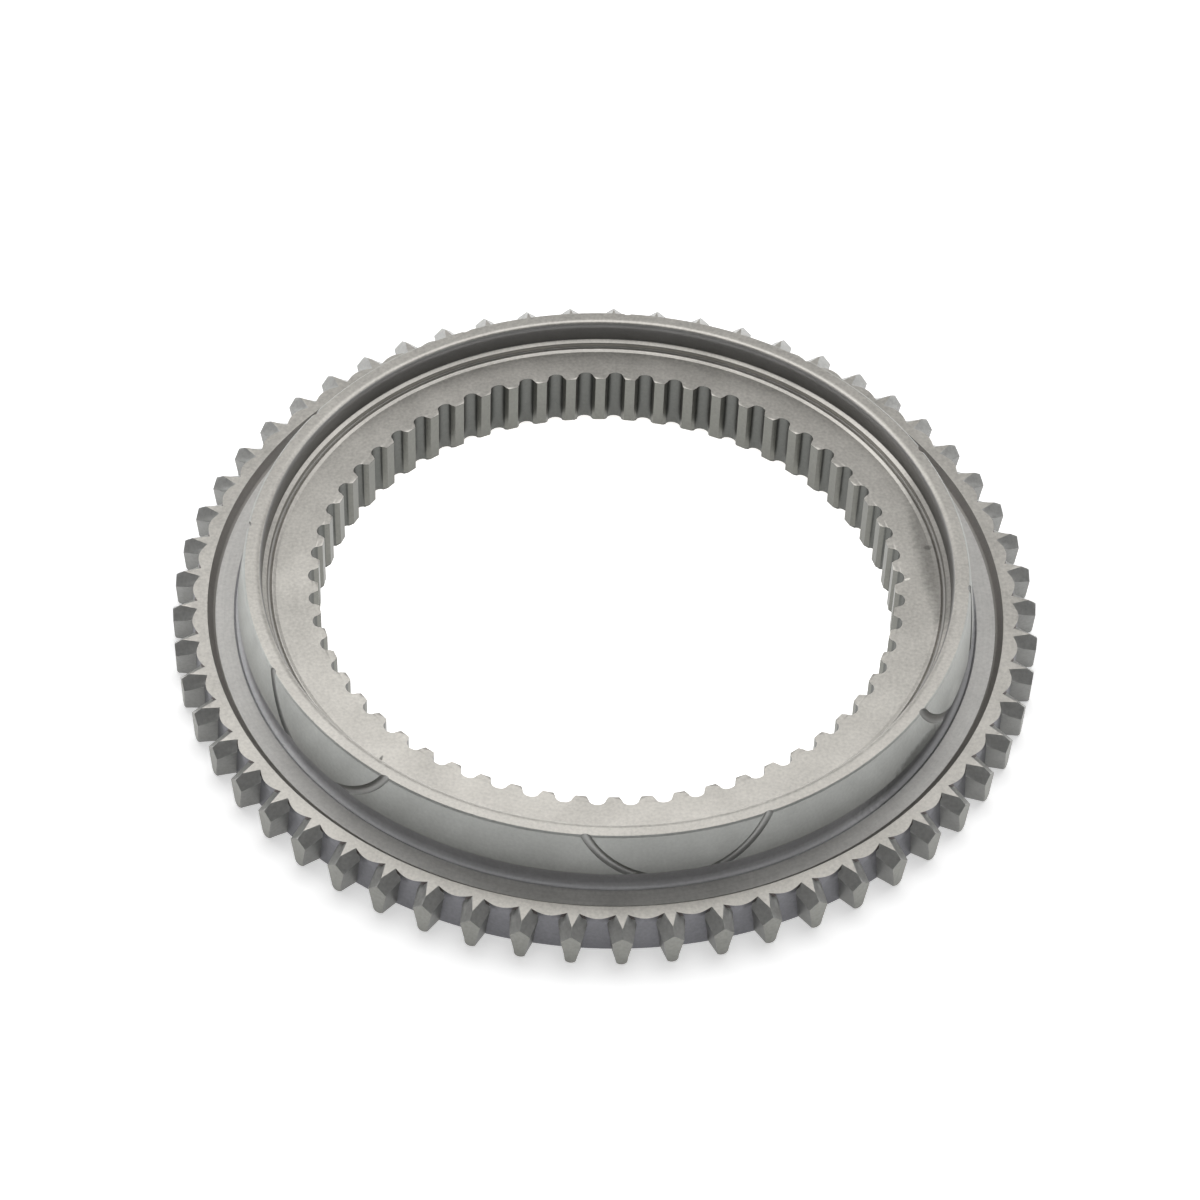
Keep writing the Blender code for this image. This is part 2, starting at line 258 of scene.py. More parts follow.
# Radii from the cone to the tooth tips
cone_slope = math.tan(CONE_HALF_ANGLE)
cone_foot_radius = cone_top_radius + (cone_top - cone_foot) * cone_slope
relief_radius = cone_foot_radius - FOOT_RELIEF_DEPTH
recess_inner = relief_radius + FOOT_RELIEF_WIDTH
recess_outer = recess_inner + RECESS_WIDTH
rim_inner = recess_outer + RECESS_WALL_WIDTH
rim_notch = rim_inner + RIM_WIDTH
tooth_root = rim_notch + SCALLOP_DEPTH
tooth_tip = tooth_root + TOOTH_HEIGHT
tooth_pitch = 2.0 * math.pi / TOOTH_COUNT

# Place of the tooth's lower edge among the corners of a column
FOOT_CORNER = 3

# Zones of the surface, each with its own material; faces in shade get darker copies with painted shade
ZONES = [
    "roof", "end", "flank", "pocket", "gap", "rim", "wall", "recess", "relief",
    "cone", "lip", "inner_wall", "score", "hub", "splines", "spline_root", "under",
]


def polar(radius, angle, height):
    """Point at a radius and an angle round the ring's axis."""
    return Vector((radius * math.cos(angle), radius * math.sin(angle), height))


def lerp(a, b, share):
    """Point at a share of the way from one point to another."""
    return tuple(x + (y - x) * share for x, y in zip(a, b))


def rounded(points):
    """Outline with its corners rounded.

    Each point is (radius, height, corner radius, zone of the stretch that follows). A round
    takes its radius off both stretches that meet there, or less where one of them is short.
    """
    outline = []
    for i, (radius, height, corner, zone) in enumerate(points):
        here = Vector((radius, height))
        if i in (0, len(points) - 1) or corner <= 0.0:
            outline.append((radius, height, zone))
            continue
        before = Vector(points[i - 1][:2]) - here
        after = Vector(points[i + 1][:2]) - here
        reach = min(corner, before.length * CORNER_REACH_LIMIT, after.length * CORNER_REACH_LIMIT)
        start = here + before.normalized() * reach
        end = here + after.normalized() * reach
        for step in range(CORNER_STEPS + 1):
            t = step / CORNER_STEPS
            place = start * (1.0 - t) ** 2 + here * 2.0 * t * (1.0 - t) + end * t * t
            outline.append((place.x, place.y, points[i - 1][3] if t < 0.5 else zone))
    return outline


def ring_profile():
    """Turned section from the rim's inner edge, over the cone, in to the flat web."""
    corner = CORNER_ROUND
    wall_share = RECESS_FILLET / math.hypot(RECESS_WALL_WIDTH, RECESS_DEPTH)
    wall_foot = recess_outer + RECESS_WALL_WIDTH * wall_share
    chamfer = CONE_EDGE_CHAMFER
    points = [
        (rim_inner + corner, rim_top, 0.0, "rim"),
        (rim_inner, rim_top, RIM_CORNER_ROUND, "wall"),
        (wall_foot, recess_floor + RECESS_DEPTH * wall_share, corner, "wall"),
        (recess_outer - RECESS_FILLET, recess_floor, corner, "recess"),
        (recess_inner, recess_floor, corner, "relief"),
    ]
    for step in range(FILLET_STEPS + 1):
        turn = math.pi / 2.0 * step / FILLET_STEPS
        radius = relief_radius + FOOT_FILLET_WIDTH * (1.0 - math.sin(turn))
        height = relief_floor + FOOT_FILLET_HEIGHT * (1.0 - math.cos(turn))
        points.append((radius, height, 0.0, "relief"))
    points += [
        (relief_radius, cone_foot - FOOT_RELIEF_DEPTH, corner, "relief"),
        (cone_foot_radius, cone_foot, corner, "cone"),
        (cone_top_radius + chamfer * cone_slope, cone_top - chamfer, corner, "cone"),
        (cone_top_radius - chamfer, cone_top, corner, "lip"),
        (cone_inner, cone_top, CONE_INNER_ROUND, "inner_wall"),
        (cone_inner, ledge_top, LEDGE_CORNER_ROUND, "hub"),
        (ledge_inner, ledge_top - LEDGE_BEVEL, corner, "score"),
        (ledge_inner - SCORE_SETBACK, web_top, corner, "score"),
        (crest_outer, web_top, corner, "hub"),
        (crest_outer - CREST_SETBACK, web_top + CREST_RISE, CREST_ROUND, "hub"),
        (web_edge, web_top, corner, "hub"),
        (web_edge - corner, web_top, 0.0, "hub"),
    ]
    return rounded(points)


def ring_loop(mesh, radius, height):
    """Closed loop of vertices round the axis."""
    step = 2.0 * math.pi / RING_SEGMENTS
    return [mesh.verts.new(polar(radius, step * i, height)) for i in range(RING_SEGMENTS)]


def strip(mesh, outer, inner, zones=None):
    """Quads between two loops with as many points, in the zones of a list that repeats or in none."""
    count = len(outer)
    for i in range(count):
        j = (i + 1) % count
        face = mesh.faces.new((outer[i], outer[j], inner[j], inner[i]))
        if zones:
            face.material_index = ZONES.index(zones[i % len(zones)])


def loop_edges(mesh, loop):
    """Edges of a closed loop, made where they are missing."""
    edges = []
    for a, b in zip(loop, loop[1:] + loop[:1]):
        edges.append(mesh.edges.get((a, b)) or mesh.edges.new((a, b)))
    return edges


def flat_ring(mesh, outer, inner, zone):
    """Flat face between two closed loops whose counts may differ."""
    edges = loop_edges(mesh, outer) + loop_edges(mesh, inner)
    filled = bmesh.ops.triangle_fill(mesh, edges=edges, use_beauty=True)
    for face in filled["geom"]:
        if isinstance(face, bmesh.types.BMFace):
            face.material_index = ZONES.index(zone)


def ridge_half_width(radius):
    """Half width of the roof's level ridge; below zero where the ridge has run out."""
    ridge_end = rim_notch + RIDGE_LENGTH
    if radius <= ridge_end:
        return RIDGE_WIDTH / 2.0 * (ridge_end - radius) / RIDGE_LENGTH
    fall = RIDGE_TIP_DROP / math.tan(ROOF_ANGLE)
    return -fall * (radius - ridge_end) / (tooth_tip - ridge_end)


def roof_height(radius, offset):
    """Height of the roof face beside the ridge."""
    return rim_top - (offset - ridge_half_width(radius)) * math.tan(ROOF_ANGLE)


def scallop_radius(offset):
    """Rim edge between two ridges, a convex bump from notch to notch."""
    reach = tooth_root * tooth_pitch / 2.0
    share = (offset - RIDGE_WIDTH / 2.0) / (reach - RIDGE_WIDTH / 2.0)
    return rim_notch + SCALLOP_DEPTH * math.sin(share * math.pi / 2.0)


def key_columns():
    """Corners of half of one pitch of the toothed edge, from the tooth's middle to the gap's.

    Each column runs from the level face down to the underside, as points of
    (radius, offset along the pitch, height).
    """
    ridge_half = RIDGE_WIDTH / 2.0
    tip_half = TOOTH_TIP_WIDTH / 2.0
    root_half = TOOTH_ROOT_WIDTH / 2.0
    gap_half = tooth_root * tooth_pitch / 2.0
    foot = TOOTH_FOOT_HEIGHT
    foot_radius = tooth_tip - TOOTH_FOOT_SETBACK
    gap_floor = roof_height(tooth_root, root_half)
    gap_wall = (rim_top + gap_floor) / 2.0

    ridge_end = rim_notch + RIDGE_LENGTH
    nose = (ridge_end + tooth_tip) / 2.0
    centre = [
        (ridge_end, 0.0, rim_top),
        (nose, 0.0, roof_height(nose, 0.0)),
        (tooth_tip, 0.0, roof_height(tooth_tip, 0.0)),
        (tooth_tip, 0.0, TOOTH_FOOT_ROUND),
        (foot_radius, 0.0, 0.0),
    ]
    pocket = rim_notch + SCALLOP_DEPTH / 2.0
    pocket_half = (ridge_half + root_half) / 2.0 - POCKET_LEAN
    corner = [
        (rim_notch, ridge_half, rim_top),
        (pocket, pocket_half, roof_height(pocket, pocket_half)),
        (tooth_tip, tip_half, roof_height(tooth_tip, tip_half)),
        (tooth_tip, tip_half - TOOTH_BACK_TAPER, foot),
        (foot_radius, TOOTH_FOOT_WIDTH / 2.0, 0.0),
    ]
    bump_half = (ridge_half + root_half) / 2.0 + POCKET_LEAN
    flank = [
        (scallop_radius(bump_half), bump_half, rim_top),
        (scallop_radius(root_half), root_half - POCKET_LEAN, gap_wall),
        (tooth_root, root_half, gap_floor),
        (tooth_root, root_half - TOOTH_BACK_TAPER, foot),
        (tooth_root, root_half - TOOTH_BACK_TAPER - TOOTH_FOOT_ROUND, 0.0),
    ]
    middle = [
        (tooth_root, gap_half, rim_top),
        (tooth_root, gap_half, gap_wall),
        (tooth_root, gap_half, gap_floor),
        (tooth_root, gap_half, foot),
        (tooth_root, gap_half, 0.0),
    ]
    return centre, corner, flank, middle


def between(first, second, steps):
    """Columns from the first key column up to, but not with, the second."""
    columns = []
    for step in range(steps):
        share = step / steps
        columns.append([lerp(a, b, share) for a, b in zip(first, second)])
    return columns


def rounded_foot(columns):
    """Bend the tooth end's lower edge from a straight line to an arch."""
    bent = []
    rise = TOOTH_FOOT_HEIGHT - TOOTH_FOOT_ROUND
    for step, column in enumerate(columns):
        share = step / len(columns)
        height = TOOTH_FOOT_ROUND + rise * (1.0 - math.sqrt(1.0 - share ** 2))
        radius, offset = column[FOOT_CORNER][:2]
        bent.append(column[:FOOT_CORNER] + [(radius, offset, height)] + column[FOOT_CORNER + 1:])
    return bent


def scalloped(columns):
    """Lay the rim edge of the columns over the gap on the scallop's curve."""
    laid = []
    for column in columns:
        offset = column[0][1]
        laid.append([(scallop_radius(offset), offset, rim_top)] + column[1:])
    return laid


def refined(column):
    """Column with more rows between its corners, and a rounded foot."""
    rows = []
    steps = [ROOF_STEPS, ROOF_STEPS, WALL_STEPS, FOOT_STEPS]
    for i, count in enumerate(steps):
        upper = column[i]
        lower = column[i + 1]
        for step in range(count):
            share = step / count
            radius, offset, height = lerp(upper, lower, share)
            if i == len(steps) - 1:
                swing = share * math.pi / 2.0
                radius = lower[0] + (upper[0] - lower[0]) * math.cos(swing)
                offset = lower[1] + (upper[1] - lower[1]) * math.cos(swing)
                height = upper[2] + (lower[2] - upper[2]) * math.sin(swing)
            rows.append((radius, offset, height))
    rows.append(column[-1])
    return rows


def tooth_zones(row):
    """Zones of the faces below a row of the toothed edge, across one pitch."""
    if row < ROOF_STEPS:
        # The pocket zone beside the rim's notch carries painted shade
        end, flank = "roof", "pocket"
    elif row < 2 * ROOF_STEPS:
        end, flank = "roof", "roof"
    else:
        end, flank = "end", "flank"
    half = [end] * TIP_STEPS + [flank] * FLANK_STEPS + ["gap"] * GAP_STEPS
    return half[-2::-1] + half + ["gap"]


def tooth_rows(mesh):
    """Loops of vertices round the toothed edge, from the level face to the underside."""
    centre, corner, flank, middle = key_columns()
    half = rounded_foot(between(centre, corner, TIP_STEPS))
    half += between(corner, flank, FLANK_STEPS)
    half += scalloped(between(flank, middle, GAP_STEPS)) + [middle]
    half = [refined(column) for column in half]
    mirrored = [[(r, -t, z) for r, t, z in column] for column in half[-2:0:-1]]
    columns = mirrored + half
    rows = [[] for _ in half[0]]
    for tooth in range(TOOTH_COUNT):
        bearing = TOOTH_BEARING + tooth * tooth_pitch
        for column in columns:
            for row, (radius, offset, height) in zip(rows, column):
                row.append(mesh.verts.new(polar(radius, bearing + offset / radius, height)))
    return rows


def spline_outline():
    """One spline space as points of (radius, offset): straight flanks and an arched root."""
    mouth = SPLINE_SPACE_WIDTH / 2.0
    fillet_top = spline_root - SPLINE_FILLET_DEPTH
    narrow = mouth - (fillet_top - BORE_RADIUS) * math.tan(SPLINE_FLANK_ANGLE)
    half = [(BORE_RADIUS, mouth)]
    for step in range(SPLINE_ARC_STEPS):
        turn = math.pi / 2.0 * step / SPLINE_ARC_STEPS
        half.append((fillet_top + SPLINE_FILLET_DEPTH * math.sin(turn), narrow * math.cos(turn)))
    left = [(radius, -offset) for radius, offset in half]
    return left + [(spline_root, 0.0)] + half[::-1]


def spline_loop(mesh, height, opening):
    """Closed loop round the splines; the lands stand back by the opening."""
    outline = spline_outline()
    step = 2.0 * math.pi / SPLINE_COUNT
    loop = []
    for space in range(SPLINE_COUNT):
        bearing = SPLINE_BEARING + space * step
        for radius, offset in outline:
            place = max(radius, BORE_RADIUS + opening)
            loop.append(mesh.verts.new(polar(place, bearing + offset / radius, height)))
    return loop


def ring_body():
    """The whole ring as one closed mesh, before the oil grooves are cut."""
    mesh = bmesh.new()
    rows = tooth_rows(mesh)
    for row, (upper, lower) in enumerate(zip(rows, rows[1:])):
        strip(mesh, lower, upper, tooth_zones(row))

    radii, heights, zones = zip(*ring_profile())
    turned = [ring_loop(mesh, radius, height) for radius, height in zip(radii, heights)]
    for outer, inner, zone in zip(turned, turned[1:], zones):
        strip(mesh, outer, inner, [zone])
    flat_ring(mesh, rows[0], turned[0], "rim")

    spline_top = spline_loop(mesh, web_top, 0.0)
    spline_low = spline_loop(mesh, HUB_RELIEF_DEPTH + SPLINE_END_CHAMFER, 0.0)
    spline_end = spline_loop(mesh, HUB_RELIEF_DEPTH, SPLINE_END_CHAMFER)
    flat_ring(mesh, turned[-1], spline_top, "hub")
    # Painted shade: the spline roots and the whole lower chamfer strip take the darkest spline material
    spline_zones = ["splines"] + ["spline_root"] * (2 * SPLINE_ARC_STEPS) + ["splines"] * 2
    strip(mesh, spline_top, spline_low, spline_zones)
    strip(mesh, spline_low, spline_end, ["spline_root"])

    hub_edge = spline_root + HUB_RELIEF_WIDTH
    under_inner = ring_loop(mesh, hub_edge, HUB_RELIEF_DEPTH)
    under_outer = ring_loop(mesh, hub_edge + HUB_RELIEF_DEPTH, 0.0)
    flat_ring(mesh, under_inner, spline_end, "under")
    strip(mesh, under_inner, under_outer, ["under"])
    flat_ring(mesh, rows[-1], under_outer, "under")

    bmesh.ops.recalc_face_normals(mesh, faces=mesh.faces)
    return mesh


class GrooveSweep:
    """Circle that an oil groove follows on the cone, dipping into the relief at its foot.

    The sweep goes on past the lip by a groove's width, so the groove is open at both ends.
    """

    def __init__(self):
        self.low = cone_foot - OIL_GROOVE_DIP
        rise = cone_top - self.low
        half_span = OIL_GROOVE_SPAN / 2.0
        half_width = OIL_GROOVE_WIDTH / 2.0
        self.radius = (half_span ** 2 + rise ** 2) / (2.0 * rise)
        self.reach = math.acos(1.0 - (rise + OIL_GROOVE_WIDTH) / self.radius)
        self.bar_radius = (half_width ** 2 + OIL_GROOVE_DEPTH ** 2) / (2.0 * OIL_GROOVE_DEPTH)

    def centre(self, turn, bearing):
        """Centre of the bar's section, and the direction that points out of the cone."""
        height = self.low + self.radius * (1.0 - math.cos(turn))
        radius = cone_foot_radius - (height - cone_foot) * cone_slope
        angle = bearing + self.radius * math.sin(turn) / cone_foot_radius
        outward = polar(math.cos(CONE_HALF_ANGLE), angle, math.sin(CONE_HALF_ANGLE))
        return polar(radius, angle, height) + outward * (self.bar_radius - OIL_GROOVE_DEPTH), outward

    def section(self, mesh, turn, bearing):
        """Arc of the bar that lies in the cone, with its ends just outside the surface."""
        nudge = self.reach / GROOVE_STATIONS
        centre, outward = self.centre(turn, bearing)
        ahead = self.centre(turn + nudge, bearing)[0] - self.centre(turn - nudge, bearing)[0]
        across = ahead.cross(outward).normalized()
        lift = OIL_GROOVE_DEPTH / 2.0
        arch = math.acos(1.0 - (OIL_GROOVE_DEPTH + lift) / self.bar_radius)
        points = []
        for facet in range(GROOVE_FACETS + 1):
            lean = arch * (2.0 * facet / GROOVE_FACETS - 1.0)
            offset = across * math.sin(lean) - outward * math.cos(lean)
            points.append(mesh.verts.new(centre + offset * self.bar_radius))
        return points


def groove_cutter():
    """Bars of arched section, swept along the oil grooves' circles on the cone."""
    mesh = bmesh.new()
    sweep = GrooveSweep()
    for groove in range(OIL_GROOVE_COUNT):
        bearing = OIL_GROOVE_BEARING + groove * 2.0 * math.pi / OIL_GROOVE_COUNT
        sections = []
        for station in range(GROOVE_STATIONS):
            turn = sweep.reach * (2.0 * station / (GROOVE_STATIONS - 1) - 1.0)
            sections.append(sweep.section(mesh, turn, bearing))
        for near, far in zip(sections, sections[1:]):
            strip(mesh, near, far)
        mesh.faces.new(sections[0])
        mesh.faces.new(sections[-1])
    bmesh.ops.recalc_face_normals(mesh, faces=mesh.faces)
    return mesh


def mesh_object(name, mesh):
    """Turn a bmesh into a named object in the scene."""
    data = bpy.data.meshes.new(name)
    mesh.to_mesh(data)
    mesh.free()
    item = bpy.data.objects.new(name, data)
    bpy.context.scene.collection.objects.link(item)
    return item


class Nodes:
    """Short calls for building the node tree of a material or of the world."""

    def __init__(self, owner, shader="Principled BSDF"):
        owner.use_nodes = True
        self.tree = owner.node_tree
        self.shader = self.tree.nodes[shader]

    def add(self, kind, **values):
        """New node with the given settings."""
        node = self.tree.nodes.new(kind)
        for name, value in values.items():
            setattr(node, name, value)
        return node

    def link(self, source, target):
        """Join an output to an input."""
        self.tree.links.new(source, target)

    def fill(self, sockets, values):
        """Give each input its value, which is a plain number or another node's output."""
        for socket, value in zip(sockets, values):
            if isinstance(value, (int, float)):
                socket.default_value = value
            else:
                self.link(value, socket)

    def math(self, operation, first, second=0.0):
        """Result of a sum on outputs or plain numbers."""
        node = self.add("ShaderNodeMath", operation=operation)
        self.fill(node.inputs, (first, second))
        return node.outputs[0]

    def weighted_sum(self, base, *parts):
        """A number plus each part's output times its weight, which may be an output too."""
        total = base
        for output, weight in parts:
            total = self.math("ADD", self.math("MULTIPLY", output, weight), total)
        return total

    def noise(self, vector, scale, detail):
        """Noise round zero, from about -0.5 to 0.5."""
        node = self.add("ShaderNodeTexNoise")
        node.inputs["Scale"].default_value = scale
        node.inputs["Detail"].default_value = detail
        self.link(vector, node.inputs["Vector"])
        return self.math("SUBTRACT", node.outputs[0], 0.5)

    def ramp(self, value, low, high, start, end):
        """Value stretched from low..high to start..end, with soft ends."""
        node = self.add("ShaderNodeMapRange", interpolation_type="SMOOTHSTEP")
        self.fill(node.inputs, (value, low, high, start, end))
        return node.outputs[0]

    def combine(self, x, y, z):
        """Vector from three outputs or numbers."""
        node = self.add("ShaderNodeCombineXYZ")
        self.fill(node.inputs, (x, y, z))
        return node.outputs[0]

    def split(self, vector):
        """The three outputs x, y and z of a vector."""
        node = self.add("ShaderNodeSeparateXYZ")
        self.link(vector, node.inputs[0])
        return node.outputs


def ring_coordinates(nodes):
    """Outputs for the place on the object, its radius, its bearing in radians and its height."""
    place = nodes.add("ShaderNodeTexCoord").outputs["Object"]
    x, y, z = nodes.split(place)
    squared = nodes.math("ADD", nodes.math("MULTIPLY", x, x), nodes.math("MULTIPLY", y, y))
    return place, nodes.math("SQRT", squared), nodes.math("ARCTAN2", y, x), z


def mark_shade(nodes, place, mark):
    """Shade of one mark of wear, dirt, painted shade or painted glint: 1 away from it, its own shade at
    its middle.

    Its half sizes are along the radius, round the ring and up the axis, before it is turned
    about the axis.
    """
    radius, bearing, height, sizes, turn, shade = mark
    centre = polar(radius, math.radians(bearing), height)
    aim = math.radians(bearing + turn)
    along = Vector((math.cos(aim), math.sin(aim), 0.0))
    across = Vector((-math.sin(aim), math.cos(aim), 0.0))
    total = None
    for axis, size in zip((along, across, Vector((0.0, 0.0, 1.0))), sizes):
        offset = nodes.add("ShaderNodeVectorMath", operation="SUBTRACT")
        nodes.link(place, offset.inputs[0])
        offset.inputs[1].default_value = centre
        reach = nodes.add("ShaderNodeVectorMath", operation="DOT_PRODUCT")
        nodes.link(offset.outputs[0], reach.inputs[0])
        reach.inputs[1].default_value = axis / size
        squared = nodes.math("MULTIPLY", reach.outputs["Value"], reach.outputs["Value"])
        total = nodes.math("ADD", total, squared) if total else squared
    ragged = nodes.math("ADD", total, nodes.noise(place, MARK_SCALE, MARK_DETAIL))
    return nodes.ramp(ragged, *MARK_EDGES, shade, 1.0)


def steel(name, colour, roughness, turned=0.0, grain=0.0, tone=0.0, metallic=1.0, lay=0.0,
          fade=None, marks=()):
    """Steel finish whose turning lines, fine grain and soft patches each have their own strength.

    The lay is how strongly fine scratches round the axis spread the gloss across them.
    A fade is painted shade, as (dark radius, bright radius, share of the colour at the dark one), and
    each mark is a patch of wear, dirt, painted shade or painted highlight as mark_shade() takes it.
    """
    material = bpy.data.materials.new(name)
    nodes = Nodes(material)
    place, radius, angle, height = ring_coordinates(nodes)
    lathe = nodes.combine(radius, height, nodes.math("MULTIPLY", angle, TURNING_DRIFT))
    lines = nodes.noise(lathe, TURNING_SCALE, TURNING_DETAIL)
    patches = nodes.noise(place, PATCH_SCALE, GRAIN_DETAIL)
    specks = nodes.noise(place, SPECK_SCALE, GRAIN_DETAIL)

    shade = nodes.weighted_sum(1.0, (patches, tone), (specks, grain), (lines, turned))
    if fade:
        shade = nodes.math("MULTIPLY", shade, nodes.ramp(radius, *fade, 1.0))
    for mark in marks:
        shade = nodes.math("MULTIPLY", shade, mark_shade(nodes, place, mark))
    tint = nodes.add("ShaderNodeVectorMath", operation="SCALE")
    tint.inputs[0].default_value = colour
    nodes.link(shade, tint.inputs["Scale"])
    nodes.link(tint.outputs[0], nodes.shader.inputs["Base Color"])
    nodes.shader.inputs["Metallic"].default_value = metallic
    if lay:
        tangent = nodes.add("ShaderNodeTangent", direction_type="RADIAL", axis="Z")
        nodes.link(tangent.outputs[0], nodes.shader.inputs["Tangent"])
        nodes.shader.inputs["Anisotropic"].default_value = lay
        nodes.shader.inputs["Anisotropic Rotation"].default_value = LAY_ROTATION
    rough = nodes.weighted_sum(roughness, (specks, GRAIN_ROUGHNESS * grain),
                               (lines, GRAIN_ROUGHNESS * turned))
    nodes.link(rough, nodes.shader.inputs["Roughness"])

    relief = nodes.weighted_sum(0.0, (specks, grain), (lines, turned))
    bump = nodes.add("ShaderNodeBump")
    bump.inputs["Strength"].default_value = BUMP_STRENGTH
    bump.inputs["Distance"].default_value = BUMP_HEIGHT
    nodes.link(relief, bump.inputs["Height"])
    nodes.link(bump.outputs[0], nodes.shader.inputs["Normal"])
    return material


def finishes():
    """One steel material for each zone, in the zones' order; the darker copies carry painted shade."""
    painted_wall_shade = (cone_inner, cone_inner + PAINTED_WALL_SHADE_WIDTH, PAINTED_WALL_SHADE_SHARE)
    return [
        steel("roof_steel", (0.51, 0.51, 0.495), roughness=0.42, grain=0.5, tone=0.3, metallic=0.9),
        # Painted shade: tooth ends, flanks, pockets and gaps are darker copies of the teeth's steel, for
        # faces in shade
        steel("tooth_end_shaded_steel", (0.30, 0.30, 0.28), roughness=0.48, grain=0.5, tone=0.3),
        steel("flank_shaded_steel", (0.29, 0.29, 0.28), roughness=0.45, grain=0.5, tone=0.3),
        steel("pocket_shaded_steel", (0.17, 0.155, 0.15), roughness=0.5, grain=0.5, tone=0.3),
        steel("gap_shaded_steel", (0.22, 0.22, 0.235), roughness=0.45, grain=0.5, tone=0.3),
        steel("rim_steel", PLAIN_STEEL, roughness=0.40, turned=0.12, grain=0.6, tone=0.4),
        # Painted shade: the recess wall is a darker copy of the rim's turned steel
        steel("wall_steel", (0.38, 0.36, 0.34), roughness=0.45, turned=0.1, grain=0.3, tone=0.2),
        steel("recess_steel", (0.60, 0.59, 0.57), roughness=0.52, turned=0.2, grain=0.4, tone=0.3),
        # Painted shade darkens the foot relief at its sides
        steel("relief_steel", (0.68, 0.68, 0.69), roughness=0.58, turned=0.1, grain=0.3, tone=0.2,
              marks=RELIEF_PAINTED_SHADE),
        steel("cone_steel", (0.54, 0.55, 0.53), roughness=0.45, turned=0.05, grain=0.3, tone=0.3,
              lay=0.8, marks=CONE_MARKS),
        steel("lip_steel", PLAIN_STEEL, roughness=0.38, turned=0.1, grain=0.6, tone=0.3),
        # Painted shade: the inner round darkens towards the wall
        steel("inner_wall_steel", (0.58, 0.57, 0.56), roughness=0.5, turned=0.1, grain=0.2, tone=0.2,
              fade=painted_wall_shade),
        # Painted shade: the score is a darker copy of the hub's turned steel
        steel("score_shaded_steel", (0.42, 0.41, 0.39), roughness=0.4, turned=0.1, grain=0.2, tone=0.2),
        steel("hub_steel", PLAIN_STEEL, roughness=0.38, turned=0.1, grain=0.6, tone=0.5,
              marks=HUB_MARKS_SHADE_AND_GLINT),
        # Painted shade: the splines are a dark copy of the hub's steel, and the roots and lower chamfer
        # darker still
        steel("spline_shaded_steel", (0.165, 0.165, 0.15), roughness=0.40, grain=0.4, tone=0.2,
              marks=SPLINE_BURR_GLINT),
        steel("spline_root_shaded_steel", (0.11, 0.112, 0.105), roughness=0.40, grain=0.4, tone=0.2,
              marks=SPLINE_BURR_GLINT),
        steel("under_steel", PLAIN_STEEL, roughness=0.45, turned=0.3, grain=0.3, tone=0.2),
    ]


def ring_piece():
    """The fine ring with its grooves cut and its edges broken."""
    ring = mesh_object("ring_surface", ring_body())
    for material in finishes():
        ring.data.materials.append(material)
    cutter = mesh_object("oil_groove_cutter", groove_cutter())
    # Painted shade: the oil grooves are a darker copy of the cone's steel
    groove_shaded_steel = steel("groove_shaded_steel", (0.34, 0.34, 0.33), roughness=0.38, grain=0.3, tone=0.2)
    cutter.data.materials.append(groove_shaded_steel)

    cut = ring.modifiers.new("oil_grooves", "BOOLEAN")
    cut.operation = "DIFFERENCE"
    cut.solver = "EXACT"
    cut.material_mode = "TRANSFER"
    cut.object = cutter
    bevel = ring.modifiers.new("edge_breaks", "BEVEL")
    bevel.width = EDGE_BREAK
    bevel.segments = EDGE_BREAK_SEGMENTS
    bevel.limit_method = "ANGLE"
    bevel.angle_limit = EDGE_BREAK_ANGLE
    weighted = ring.modifiers.new("flat_faces", "WEIGHTED_NORMAL")
    weighted.mode = "FACE_AREA"
    weighted.weight = FLAT_FACE_WEIGHT

    ring.data.shade_smooth()
    graph = bpy.context.evaluated_depsgraph_get()
    data = bpy.data.meshes.new_from_object(ring.evaluated_get(graph))
    ring.modifiers.clear()
    ring.data = data
    data.name = "ring_surface"
    bpy.data.objects.remove(cutter)
    return ring


def camera():
    """Camera at the photograph's viewing angle."""
    ahead = Vector((0.0, math.cos(CAMERA_PITCH), -math.sin(CAMERA_PITCH)))
    right = Vector((1.0, 0.0, 0.0))
    up = right.cross(ahead)
    across = right * math.cos(CAMERA_ROLL) + up * math.sin(CAMERA_ROLL)
    upright = up * math.cos(CAMERA_ROLL) - right * math.sin(CAMERA_ROLL)
    place = across * CAMERA_OFFSET[0] + upright * CAMERA_OFFSET[1] - ahead * CAMERA_DISTANCE
    place.z += CAMERA_AIM_HEIGHT
    data = bpy.data.cameras.new("camera")
    data.sensor_width = CAMERA_SENSOR
    data.lens = CAMERA_SENSOR * CAMERA_LENS_RATIO
    data.clip_start = CAMERA_CLIP_START
    item = bpy.data.objects.new("camera", data)
    turn = Matrix((across, upright, -ahead)).transposed()
    item.matrix_world = Matrix.Translation(place) @ turn.to_4x4()
    bpy.context.scene.collection.objects.link(item)
    bpy.context.scene.camera = item


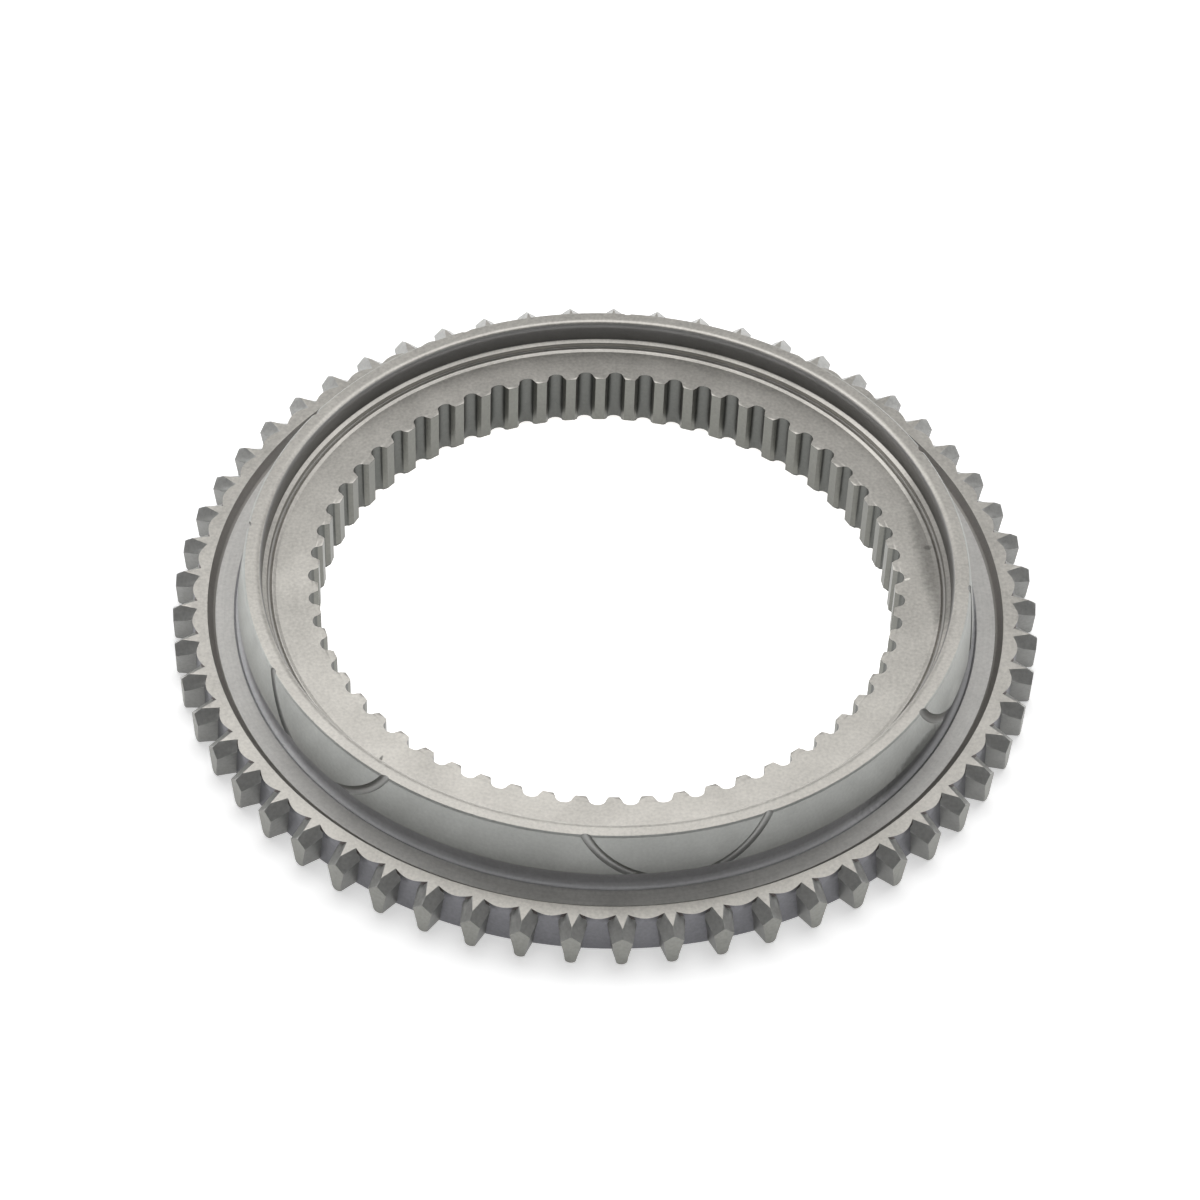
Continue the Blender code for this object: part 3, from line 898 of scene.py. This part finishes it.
def floor():
    """White floor that the camera sees brighter than it is lit, most of all inside the bore."""
    mesh = bmesh.new()
    bmesh.ops.create_circle(mesh, cap_ends=True, segments=FLOOR_SEGMENTS, radius=FLOOR_RADIUS)
    item = mesh_object("floor", mesh)
    material = bpy.data.materials.new("white_floor")
    nodes = Nodes(material)
    nodes.shader.inputs["Base Color"].default_value = FLOOR_COLOUR
    nodes.shader.inputs["Roughness"].default_value = FLOOR_ROUGHNESS
    nodes.shader.inputs["Specular IOR Level"].default_value = 0.0
    path = nodes.add("ShaderNodeLightPath").outputs
    seen = nodes.math("ADD", path["Is Camera Ray"], path["Is Glossy Ray"])
    seen = nodes.math("MINIMUM", nodes.math("ADD", seen, path["Is Transmission Ray"]), 1.0)
    nodes.shader.inputs["Emission Color"].default_value = WHITE
    radius = ring_coordinates(nodes)[1]
    lit = nodes.ramp(radius, *BORE_GLOW_EDGES, FLOOR_GLOW, BORE_GLOW)
    nodes.link(nodes.math("MULTIPLY", seen, lit), nodes.shader.inputs["Emission Strength"])
    item.data.materials.append(material)


def room():
    """Light from all round: a dim room, bright low behind and overhead, darker high on the near side."""
    world = bpy.data.worlds.new("room")
    bpy.context.scene.world = world
    nodes = Nodes(world, "Background")
    _, y, z = nodes.split(nodes.add("ShaderNodeTexCoord").outputs["Generated"])
    behind = nodes.ramp(y, *SWEEP_SIDE_EDGES, 0.0, SWEEP_LEVEL)
    low = nodes.ramp(z, *SWEEP_TOP_EDGES, 0.0, 1.0)
    overhead = nodes.ramp(z, *OVERHEAD_EDGES, 0.0, OVERHEAD_LEVEL)
    near = nodes.ramp(y, *CEILING_SIDE_EDGES, 0.0, CEILING_SHADE)
    high = nodes.ramp(z, *CEILING_LOW_EDGES, 0.0, 1.0)
    level = nodes.weighted_sum(ROOM_LEVEL, (behind, low), (near, high), (overhead, 1.0))
    nodes.link(level, nodes.shader.inputs["Strength"])
    nodes.shader.inputs["Color"].default_value = WHITE


def wide_lamp():
    """Wide soft lamp above and behind the ring, left out of the reflections."""
    lamp = bpy.data.lights.new("soft_lamp", "AREA")
    lamp.size = LAMP_SIZE
    lamp.energy = LAMP_POWER
    item = bpy.data.objects.new("soft_lamp", lamp)
    item.location = LAMP_PLACE
    item.rotation_euler = (-Vector(LAMP_PLACE)).to_track_quat("-Z", "Y").to_euler()
    item.visible_glossy = False
    bpy.context.scene.collection.objects.link(item)


def softbox():
    """Glowing sheet above and behind the ring, brightest along its near edge and to the left."""
    near, far = SOFTBOX_REACH
    mesh = bmesh.new()
    corners = ((-SOFTBOX_HALF_WIDTH, near), (SOFTBOX_HALF_WIDTH, near),
               (SOFTBOX_HALF_WIDTH, far), (-SOFTBOX_HALF_WIDTH, far))
    mesh.faces.new([mesh.verts.new((x, y, SOFTBOX_HEIGHT)) for x, y in corners])
    item = mesh_object("softbox", mesh)
    material = bpy.data.materials.new("softbox_glow")
    nodes = Nodes(material)
    x, y, _ = nodes.split(nodes.add("ShaderNodeTexCoord").outputs["Object"])
    core = nodes.ramp(y, *SOFTBOX_CORE_EDGES, 0.0, SOFTBOX_CORE_LEVEL)
    tilt = nodes.ramp(x, *SOFTBOX_TILT_EDGES, *SOFTBOX_TILT)
    level = nodes.math("MULTIPLY", nodes.math("ADD", core, SOFTBOX_LEVEL), tilt)
    nodes.shader.inputs["Base Color"].default_value = BLACK
    nodes.shader.inputs["Emission Color"].default_value = WHITE
    nodes.link(level, nodes.shader.inputs["Emission Strength"])
    item.data.materials.append(material)
    item.visible_camera = False
    item.visible_shadow = False


ring = ring_piece()
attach(ring, "root")
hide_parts("synchronizer_cone")
camera()
floor()
room()
wide_lamp()
softbox()
bpy.context.scene.view_settings.view_transform = "Standard"
